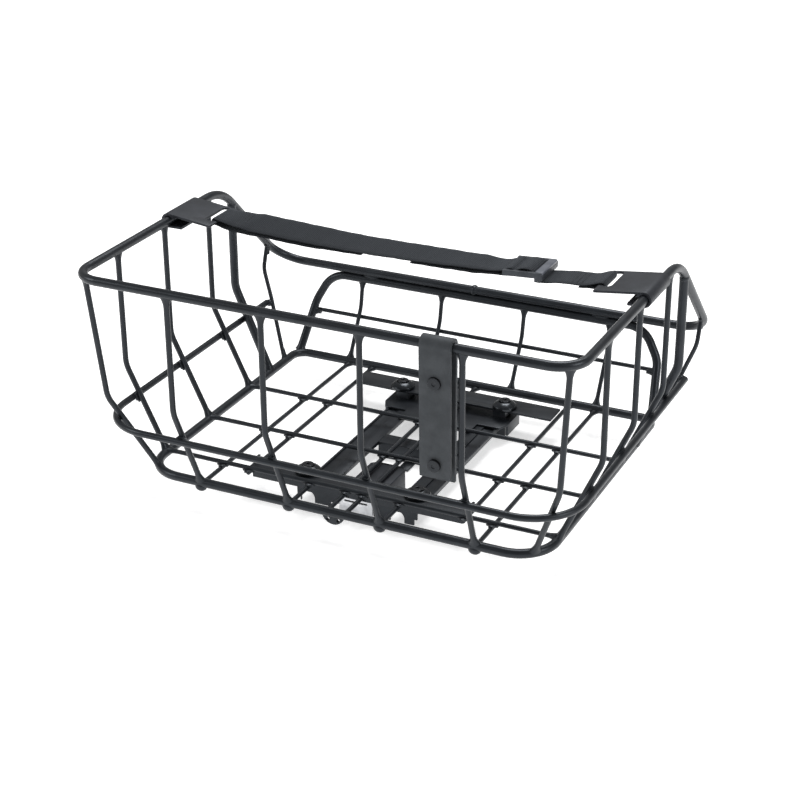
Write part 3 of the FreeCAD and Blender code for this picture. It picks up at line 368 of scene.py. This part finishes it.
def softened(node, name, width_mm, paint=None):
    """The node's own shape with its sharp edges rounded, standing for the node."""
    mesh = bmesh.new()
    mesh.from_mesh(nodes[node].data)
    bmesh.ops.remove_doubles(mesh, verts=mesh.verts, dist=SAME_POINT)
    bmesh.ops.dissolve_limit(mesh, angle_limit=math.radians(FLAT_BELOW), verts=mesh.verts, edges=mesh.edges)
    limit = math.radians(ROUNDED_ABOVE)
    inner = [edge for edge in mesh.edges if len(edge.link_faces) == 2]
    edges = [edge for edge in inner if edge.calc_face_angle(0) > limit]
    bmesh.ops.bevel(
        mesh,
        geom=edges,
        offset=width_mm * MM,
        offset_type="OFFSET",
        segments=ROUNDING_STEPS,
        profile=0.5,
        affect="EDGES",
        clamp_overlap=True,
    )
    bmesh.ops.triangulate(mesh, faces=[face for face in mesh.faces if len(face.verts) > 4])
    piece = place_mesh(name, mesh, paint or PAINT_OF_SLOT[SLOT_OF_NODE[node]])
    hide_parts(node)
    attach(piece, BODY_OF_NODE[node])


# --- Sizes read from the frame -----------------------------------------------

# Radii of the tubes and wires.
HEAVY = 4 * MM
MIDDLE = 3 * MM
WALL = 2.5 * MM
THIN = 2 * MM

rim_low, rim_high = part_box("top_rim")
ring_low, ring_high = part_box("base_ring")
middle_low, middle_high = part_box("mid_ring")
arch_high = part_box("rear_arch")[1]
RIM_HALF = rim_high.x - HEAVY
RIM_FRONT = rim_low.y + HEAVY
RIM_REAR = rim_high.y - HEAVY
RIM_LEVEL = rim_high.z - HEAVY
REAR_LEVEL = rim_low.z + HEAVY
RING_HALF = ring_high.x - HEAVY
RING_FRONT = ring_low.y + HEAVY
RING_REAR = ring_high.y - HEAVY
RING_LEVEL = ring_high.z - HEAVY
MIDDLE_LEVEL = (middle_low.z + middle_high.z) / 2
ARCH_PLACE = arch_high.y - HEAVY
ARCH_LEVEL = arch_high.z - HEAVY

# Places that no box shows: where the wall wires turn inwards, the corners' radii, where
# the rim starts to fall, and the arch's right leg.
KNEE_LEVEL = 103 * MM
POST_KNEE_LEVEL = 107 * MM
CORNER_KNEE_LEVEL = 97 * MM
RIM_CORNER = 24 * MM
RING_CORNER = 33 * MM
FALL_START = 66 * MM
LEG_FOOT = Vector((182, 138, 24)) * MM
LEG_BEND = Vector((176, 165.8, 71)) * MM

# How far a rounded corner's middle lies inside its sharp one, as a share of its radius.
CORNER_SHARE = 1 - math.sqrt(0.5)
ACROSS = Vector((1, 0, 0))
ALONG = Vector((0, 1, 0))
UP = Vector((0, 0, 1))
SIDES = (("left", -1), ("right", 1))

# --- Welds -------------------------------------------------------------------

# Flares widen a wire where it stands on a tube, fillets fill the corners where wires
# cross, and beads swell, all in millimetres.
COLLAR_STEPS = 9
COLLAR_SIDES = 18
COLLAR_ROOT = 0.45
COLLAR_FALL = 2.1
COLLAR_SIDE = 0.22
COLLAR_SKIN = 1.01
WALL_FLARE = 4.4
THIN_FLARE = 3.4
WALL_FILLET = 2.2
FLOOR_FILLET = 3.4
MIDDLE_TOUCH = 2.9
FILLET_STEPS = 5
# The webs' outline by height, from one face to the other: thinner at the faces.
WEB_LAYERS = ((-1, 0.8), (-0.75, 0.95), (0, 1), (0.75, 0.95), (1, 0.8))
BEAD_STEPS = 8
BEAD_SIDES = 24


def collar(mesh, point, tube_line, outward, tube, wire, flare=WALL_FLARE, reach=8.0):
    """The fillet where a wire stands on a tube, widest along the tube."""
    outward = outward.normalized()
    side = outward.cross(tube_line).normalized()
    line = side.cross(outward).normalized()
    start = tube * COLLAR_ROOT
    stop = tube + reach * MM
    rings = []
    for step in range(COLLAR_STEPS + 1):
        share = step / COLLAR_STEPS
        left = (1 - share) ** COLLAR_FALL
        wide = wire * COLLAR_SKIN + flare * MM * left
        thick = wire * COLLAR_SKIN + flare * COLLAR_SIDE * MM * left
        centre = point + outward * (start + (stop - start) * share)
        rings.append(oval(centre, line * wide, side * thick, COLLAR_SIDES))
    loft(mesh, rings)


def crossing(mesh, point, first, second, first_radius, second_radius, fillet, half_thick=1.3):
    """The webs in the four corners where two stacked wires cross."""
    normal = first.cross(second).normalized()
    outline = []
    radius = fillet * MM
    corners = ((1, 1), (-1, 1), (-1, -1), (1, -1))
    for number, (along_first, along_second) in enumerate(corners):
        first_reach = first * along_first
        second_reach = second * along_second
        centre = first_reach * (second_radius + radius) + second_reach * (first_radius + radius)
        arc = []
        for step in range(FILLET_STEPS + 1):
            turn = math.pi / 2 * step / FILLET_STEPS
            inward = second_reach * math.cos(turn) + first_reach * math.sin(turn)
            arc.append(centre - inward * radius)
        outline.extend(arc if number % 2 == 0 else reversed(arc))
    rings = []
    for lift, share in WEB_LAYERS:
        rings.append([point + spot * share + normal * lift * half_thick * MM for spot in outline])
    loft(mesh, rings)


def blob(mesh, point, wide, deep, tall):
    """A rounded weld bead, in half sizes along x, y and z."""
    made = bmesh.ops.create_uvsphere(mesh, u_segments=16, v_segments=10, radius=1)
    for vert in made["verts"]:
        vert.co = point + Vector((vert.co.x * wide, vert.co.y * deep, vert.co.z * tall)) * MM


def ring_bead(mesh, point, line, tube, swell, half):
    """A weld bead round a tube where its two ends meet."""
    side = line.orthogonal().normalized()
    other = line.cross(side).normalized()
    rings = []
    for step in range(BEAD_STEPS + 1):
        share = step / BEAD_STEPS * 2 - 1
        radius = tube + swell * MM * (1 - share * share)
        centre = point + line * half * MM * share
        rings.append(oval(centre, side * radius, other * radius, BEAD_SIDES))
    loft(mesh, rings)


def rim_at(y):
    """The height of the side rim's centreline at a place along it."""
    if y < FALL_START:
        return RIM_LEVEL
    return RIM_LEVEL - (y - FALL_START) * (RIM_LEVEL - REAR_LEVEL) / (RIM_REAR - FALL_START)


def mirrored(point, sign):
    """The point on the left or the right, by its sign."""
    return Vector((sign * point.x, point.y, point.z))


def upright_welds(mesh, top, foot, line, outward):
    """An upright wall wire's welds: on the rim, on the base ring and on the middle ring."""
    knee = Vector((top.x, top.y, KNEE_LEVEL))
    lean = knee - foot
    collar(mesh, top, line, -UP, HEAVY, WALL)
    collar(mesh, foot, line, lean, HEAVY, WALL)
    middle = foot.lerp(knee, (MIDDLE_LEVEL - RING_LEVEL) / (KNEE_LEVEL - RING_LEVEL))
    touch = middle + outward * MIDDLE_TOUCH * MM
    crossing(mesh, touch, line, lean.normalized(), MIDDLE, WALL, WALL_FILLET)


def front_wire_welds(mesh):
    for number in range(1, 5):
        low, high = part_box("front_wire_{}".format(number))
        sign = 1 if low.x + high.x > 0 else -1
        far, near = (high.x, low.x) if sign > 0 else (low.x, high.x)
        top = Vector((far - sign * WALL, RIM_FRONT, RIM_LEVEL))
        foot = Vector((near + sign * WALL, RING_FRONT, RING_LEVEL))
        upright_welds(mesh, top, foot, ACROSS, -ALONG)
        blob(mesh, foot + Vector((0, -0.4, -3.4)) * MM, wide=5.6, deep=4.2, tall=4.6)


def side_wire_welds(mesh, side, sign):
    for number in range(1, 4):
        low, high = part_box("side_wire_{}_{}".format(side, number))
        top = Vector((sign * RIM_HALF, low.y + WALL, RIM_LEVEL))
        foot = Vector((sign * RING_HALF, high.y - WALL, RING_LEVEL))
        upright_welds(mesh, top, foot, ALONG, ACROSS * sign)


def rear_post_welds(mesh, side, sign):
    low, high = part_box("rear_post_" + side)
    place = (low.y + high.y) / 2
    top = Vector((sign * RIM_HALF, place, rim_at(place)))
    foot = Vector((sign * RING_HALF, place, RING_LEVEL))
    knee = Vector((top.x, top.y, POST_KNEE_LEVEL))
    blob(mesh, top + Vector((0, 0.6, -2.6)) * MM, wide=4.35, deep=5.4, tall=4.6)
    collar(mesh, foot, ALONG, knee - foot, HEAVY, HEAVY, flare=2.4, reach=5)


def front_corner_welds(mesh, sign):
    """The front corner wire leans in on the diagonal."""
    inward = Vector((-sign, 1, 0)).normalized()
    tangent = Vector((sign, 1, 0)).normalized()
    rim_inset = RIM_CORNER * CORNER_SHARE
    ring_inset = RING_CORNER * CORNER_SHARE
    corner = Vector((sign * (RIM_HALF - rim_inset), RIM_FRONT + rim_inset, RIM_LEVEL))
    top_inset = 1.0 * MM
    knee_inset = 10.9 * MM
    top = corner + inward * top_inset
    knee = top + inward * knee_inset
    knee.z = CORNER_KNEE_LEVEL
    foot = Vector((sign * (RING_HALF - ring_inset), RING_FRONT + ring_inset, RING_LEVEL))
    collar(mesh, top, tangent, knee - top, HEAVY, WALL)
    collar(mesh, foot, tangent, knee - foot, HEAVY, WALL)


def rear_corner_welds(mesh, side, sign):
    """The thin rear corner wire, and the middle ring's end on it."""
    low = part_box("rear_corner_wire_" + side)[0]
    fall = Vector((0, RIM_REAR - FALL_START, REAR_LEVEL - RIM_LEVEL)).normalized()
    top_inset = 0.5 * MM
    top_place = RIM_REAR - RIM_CORNER
    bend_inset = 10.5 * MM
    bend_forward = 6 * MM
    bend_rise = 55 * MM
    top = Vector((sign * (RIM_HALF - top_inset), top_place, rim_at(top_place)))
    bend = Vector((sign * (RIM_HALF - bend_inset), RING_REAR - bend_forward, RING_LEVEL + bend_rise))
    foot = Vector((sign * RING_HALF, low.y + THIN, RING_LEVEL))
    collar(mesh, foot, ALONG, bend - foot, HEAVY, THIN, flare=3.0)
    collar(mesh, top, fall, -UP, HEAVY, THIN, flare=3.0)
    ring_end = Vector((210.5, 131, 74)) * MM
    blob(mesh, mirrored(ring_end, sign), wide=4.2, deep=3.2, tall=3.4)


def wall_welds():
    mesh = bmesh.new()
    front_wire_welds(mesh)
    for side, sign in SIDES:
        side_wire_welds(mesh, side, sign)
        rear_post_welds(mesh, side, sign)
        front_corner_welds(mesh, sign)
        rear_corner_welds(mesh, side, sign)
    return place_mesh("wall_welds", mesh, COAT)


def rear_welds():
    mesh = bmesh.new()
    for number in range(1, 5):
        low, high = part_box("rear_wire_{}".format(number))
        across = (low.x + high.x) / 2
        top = Vector((across, ARCH_PLACE, ARCH_LEVEL))
        bend = Vector((across, LEG_BEND.y, LEG_BEND.z))
        foot = Vector((across, RING_REAR, RING_LEVEL))
        collar(mesh, top, ACROSS, bend - top, HEAVY, THIN, flare=THIN_FLARE)
        collar(mesh, foot, ACROSS, bend - foot, HEAVY, THIN, flare=THIN_FLARE)
    # The back's cross wire ends this far up the arch's legs.
    cross_wire_share = 0.787
    arch_touch = Vector((118, 171, 103)) * MM
    rim_joint = Vector((-9 * MM, RIM_REAR, REAR_LEVEL))
    for sign in (-1, 1):
        foot = mirrored(LEG_FOOT, sign)
        bend = mirrored(LEG_BEND, sign)
        collar(mesh, foot, ACROSS, bend - foot, HEAVY, HEAVY, flare=2.0, reach=4)
        cross_wire_end = foot.lerp(bend, cross_wire_share)
        collar(mesh, cross_wire_end, UP, -sign * ACROSS, HEAVY, THIN, flare=2.6, reach=5)
        # The arch's top bar is welded to the rim behind it at both ends.
        blob(mesh, mirrored(arch_touch, sign), wide=9, deep=3.4, tall=3.0)
    ring_bead(mesh, rim_joint, ACROSS, HEAVY, swell=1.1, half=2.6)
    return place_mesh("rear_welds", mesh, COAT)


def long_wire_spans():
    """Each wire that runs front to back under the floor: its place across, its start and its end."""
    spans = []
    for number in range(1, 5):
        low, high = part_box("floor_long_wire_{}".format(number))
        spans.append(((low.x + high.x) / 2, low.y, high.y))
    for pair in ("floor_centre_wires", "floor_short_wires"):
        low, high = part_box(pair)
        spans.append((low.x + THIN, low.y, high.y))
        spans.append((high.x - THIN, low.y, high.y))
    return spans


def floor_welds():
    mesh = bmesh.new()
    spans = long_wire_spans()
    level = RING_LEVEL - THIN
    at_ring = 5 * MM
    for across, start, stop in spans:
        if start < RING_FRONT + at_ring:
            collar(mesh, Vector((across, RING_FRONT, level)), ACROSS, ALONG, HEAVY, THIN, flare=THIN_FLARE)
        if stop > RING_REAR - at_ring:
            collar(mesh, Vector((across, RING_REAR, level)), ACROSS, -ALONG, HEAVY, THIN, flare=THIN_FLARE)
    past_end = 3 * MM
    for number in range(1, 4):
        low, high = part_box("floor_cross_wire_{}".format(number))
        place = (low.y + high.y) / 2
        for sign in (-1, 1):
            end = Vector((sign * RING_HALF, place, RING_LEVEL + THIN))
            collar(mesh, end, ALONG, -sign * ACROSS, HEAVY, THIN, flare=THIN_FLARE)
        for across, start, stop in spans:
            if start - past_end < place < stop + past_end:
                touch = Vector((across, place, RING_LEVEL))
                crossing(mesh, touch, ACROSS, ALONG, THIN, THIN, FLOOR_FILLET, half_thick=1.2)
    return place_mesh("floor_welds", mesh, COAT)


for weld in (wall_welds(), rear_welds(), floor_welds()):
    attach(weld, "basket")

# --- Moulded and pressed parts with rounded edges ----------------------------

for side in ("left", "right"):
    softened("strap_clip_" + side, "clip_shell_" + side, 0.7)
    softened("adapter_rail_" + side, "rail_sheet_" + side, 0.4)
softened("front_tab", "tab_cover", 0.8)
softened("clamp_discs", "clamp_caps", 0.5, CAP)
softened("clamp_bolts", "clamp_bolt_heads", 0.5)
softened("tab_screws", "tab_button_heads", 0.6)
softened("latch_cover", "latch_housing", 0.8)
softened("latch_plate", "latch_button", 0.4)
softened("adapter_front_plate", "adapter_skirt", 0.35)
softened("adapter_middle_plate", "adapter_beam", 0.4)
softened("adapter_rear_plate", "adapter_tray", 0.4)
softened("front_cross_strip", "front_strip_sheet", 0.35)
softened("rear_cross_strip", "rear_strip_sheet", 0.35)
softened("buckle_frame", "buckle_body", 0.5)
softened("buckle_bar", "buckle_grip", 0.4)
softened("lamp_lug", "lamp_bracket", 0.35)

# --- Webbing strap: routes and places in millimetres --------------------------

STRAP_CENTRE = 3 * MM
STRAP_HALF = 15 * MM
STRAP_THICK = 1.6 * MM

# The free span hangs from its lowest place up to the clip and the buckle.
STRAP_LOW = 205.35
STRAP_LOW_PLACE = -45
RISE_LEFT = 3.6
REACH_LEFT = 98
RISE_RIGHT = 1.8
REACH_RIGHT = 109
SPAN_LEFT_END = -156
SPAN_RIGHT_END = 78
SPAN_STEP = 12
MIDDLE_SPLIT = -60
SHORT_SPLIT = 150
# The free span is twisted, its back edge higher: degrees at places across.
TWIST = ((-176, 0), (-160, 6), (-143, 10.7), (-104, 10.4), (-40, 8), (12, 6.8), (64, 3.5), (86, 0))
# The loose end, a layer below the span, lies flat up to one place and twists fully from the next.
LAYER_GAP = 1.2
LOOSE_FLAT = -140
LOOSE_TWISTED = -80

# The band leads up to each clip, then turns round its bar and back through the slot.
LEAD_LEFT = [(158, 209.6), (165, 210.1), (171, 210.8)]
LEAD_RIGHT = [(158, 207.1), (165, 207.4), (171, 209.0)]
LEAD_SLOPE = 0.05
ROUND_BAR = [
    (176.4, 211.3),
    (181.2, 212.3),
    (182.7, 211.4),
    (182.6, 208.0),
    (180.8, 207.1),
    (176, 206.5),
]

ROUTE_ROUNDS = 3
ROUTE_STEP = 1.5
ACROSS_STEPS = 14
# The band's thickness at its selvedges, as a share of the rest.
EDGE_SHARE = 0.426

STITCH_ROWS = (154, 158, 162)
STITCH_COUNT = 8
STITCH_SPAN = 24.4
STITCH_START = 0.4
STITCH_GAP = 0.9
STITCH_LIFT = 0.05
THREAD_HALF = 0.32
THREAD_SINK = 0.25
THREAD_SIDES = 8


def strap_level(x):
    """The height of the strap's middle along its free span."""
    reach = x - STRAP_LOW_PLACE
    if reach < 0:
        return STRAP_LOW + RISE_LEFT * (-reach / REACH_LEFT) ** 1.25
    return STRAP_LOW + RISE_RIGHT * (reach / REACH_RIGHT) ** 2


def eased(share):
    """Goes smoothly from 0 to 1 as the share does."""
    share = min(1.0, max(0.0, share))
    return share * share * (3 - 2 * share)


def strap_tilt(x, z):
    """The twist of the strap; the loose end under the left clip lies flat at first."""
    tilt = 0.0
    for (near, low), (far, high) in zip(TWIST, TWIST[1:]):
        if near <= x <= far:
            tilt = low + (high - low) * eased((x - near) / (far - near))
    if x < LOOSE_TWISTED and z < strap_level(x) - LAYER_GAP:
        tilt *= eased((x - LOOSE_FLAT) / (LOOSE_TWISTED - LOOSE_FLAT))
    return math.radians(tilt)


def cut_corners(route):
    """Replaces each corner of the route by two points beside it."""
    finer = [route[0]]
    for near, far in zip(route, route[1:]):
        finer.append(near.lerp(far, 0.25))
        finer.append(near.lerp(far, 0.75))
    finer.append(route[-1])
    return finer


def smooth_route(points):
    """Rounds the route's corners, then spaces its points evenly."""
    route = [Vector((x, 0, z)) for x, z in points]
    for _ in range(ROUTE_ROUNDS):
        route = cut_corners(route)
    even = [route[0]]
    carried = 0.0
    for near, far in zip(route, route[1:]):
        length = (far - near).length
        place = ROUTE_STEP - carried
        while place < length:
            even.append(near.lerp(far, place / length))
            place += ROUTE_STEP
        carried = (carried + length) % ROUTE_STEP
    if (even[-1] - route[-1]).length < ROUTE_STEP * 0.4:
        even.pop()
    even.append(route[-1])
    return even


def ripple(x):
    """How far the strap's edges rise and fall with the small waves along it."""
    return 0.12 * math.sin(x * 0.21) + 0.08 * math.sin(x * 0.47 + 1)


def band_ring(point, heading):
    """The outline across the band at one point of its route, thin at both selvedges."""
    half = STRAP_HALF / MM
    thick = STRAP_THICK / MM / 2
    normal = Vector((-heading.z, 0, heading.x))
    slope = math.tan(strap_tilt(point.x, point.z)) + ripple(point.x) / half
    upper = []
    lower = []
    for index in range(ACROSS_STEPS + 1):
        place = -half + 2 * half * index / ACROSS_STEPS
        at_edge = index in (0, ACROSS_STEPS)
        rise = thick * EDGE_SHARE if at_edge else thick
        centre = point + Vector((0, STRAP_CENTRE / MM + place, place * slope))
        upper.append((centre + normal * rise) * MM)
        lower.append((centre - normal * rise) * MM)
    return upper + list(reversed(lower))


def webbing(name, points, node_names):
    """A woven band along a route in the x-z plane, and its length."""
    route = smooth_route(points)
    before = [route[0]] + route[:-1]
    after = route[1:] + [route[-1]]
    headings = [(far - near).normalized() for near, far in zip(before, after)]
    mesh = bmesh.new()
    loft(mesh, [band_ring(point, heading) for point, heading in zip(route, headings)])
    piece = place_mesh(name, mesh, WEBBING, SMOOTH_CLOTH)
    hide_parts(*node_names)
    length = sum((far - near).length for near, far in zip(route, route[1:]))
    return piece, length * MM


def sewn_level(x):
    """The height of the upper face where the band is sewn, near a clip."""
    first, level = LEAD_LEFT[0] if x < 0 else LEAD_RIGHT[0]
    return level + STRAP_THICK / MM / 2 + (abs(x) - first) * LEAD_SLOPE


def stitch(mesh, x, start, stop):
    """One short thread bar across the strap, its ends sunk into the weave."""
    level = sewn_level(x) + STITCH_LIFT
    slope = math.tan(strap_tilt(x, level))
    rings = []
    for share in (0, 0.12, 0.5, 0.88, 1):
        swell = THREAD_HALF * math.sin(math.pi * (0.12 + 0.76 * share)) ** 0.5
        sink = THREAD_SINK * (abs(share - 0.5) * 2) ** 3
        place = start + (stop - start) * share
        lift = (place - STRAP_CENTRE / MM) * slope
        centre = Vector((x, place, level + lift - sink)) * MM
        rings.append(oval(centre, ACROSS * swell * MM, UP * swell * MM, THREAD_SIDES))
    loft(mesh, rings)


def stitches(name, sign):
    """Rows of stitches across the strap's upper face near one clip."""
    mesh = bmesh.new()
    pitch = STITCH_SPAN / STITCH_COUNT
    first = STRAP_CENTRE / MM - STITCH_SPAN / 2 + STITCH_START
    for row in STITCH_ROWS:
        for index in range(STITCH_COUNT):
            start = first + index * pitch
            stitch(mesh, sign * row, start, start + pitch - STITCH_GAP)
    piece = place_mesh(name, mesh, THREAD, SMOOTH_CLOTH)
    return piece


def clip_turn(sign):
    """The route up to the clip, over its bar, down through the slot and back below it."""
    lead = LEAD_LEFT if sign < 0 else LEAD_RIGHT
    return [(sign * x, z) for x, z in lead + ROUND_BAR]


left_points = [(x, strap_level(x)) for x in range(MIDDLE_SPLIT, SPAN_LEFT_END, -SPAN_STEP)]
left_points += clip_turn(-1)
left_points += [
    (-170, 204.7),
    (-162, 203.3),
    (-140, 202.5),
    (-112, 203.0),
    (-86, 203.4),
    (-60, 203.6),
    (-36, 203.65),
]
strap_left, left_length = webbing("webbing_left", left_points, ["strap_loop_left"])
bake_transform(strap_left)

middle_points = [(x, strap_level(x)) for x in range(MIDDLE_SPLIT, SPAN_RIGHT_END, SPAN_STEP)]
middle_points += [
    (80, 206.9),
    (88, 207.5),
    (94, 209.0),
    (98.4, 211.4),
    (102.4, 212.1),
    (104.4, 210.5),
    (106.6, 211.4),
    (110.6, 213.2),
    (115.6, 213.5),
    (119.4, 212.8),
    (122.4, 210.9),
    (121.3, 208.0),
    (117, 206.6),
    (106, 206.1),
    (96, 205.2),
    (84, 204.2),
    (64, 203.6),
    (38, 203.6),
    (10, 203.9),
]
strap_middle, middle_length = webbing("webbing_middle", middle_points, ["strap_long", "strap_bend"])
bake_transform(strap_middle)

anchor_points = [
    (127.6, 208.5),
    (125.8, 209.4),
    (123.7, 208.6),
    (123.3, 206.0),
    (124.0, 204.0),
    (127, 203.8),
    (133, 204.5),
    (142, 206.0),
    (SHORT_SPLIT, 206.8),
]
strap_anchor, anchor_length = webbing("webbing_anchor", anchor_points, ["strap_short"])
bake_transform(strap_anchor)

right_points = [(SHORT_SPLIT, 206.8)] + clip_turn(1) + [(170, 206.2), (164, 205.65), (160.5, 205.45)]
strap_right, right_length = webbing("webbing_right", right_points, ["strap_loop_right"])
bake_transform(strap_right)

sewn_left = stitches("stitches_left", -1)
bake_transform(sewn_left)
sewn_right = stitches("stitches_right", 1)
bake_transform(sewn_right)
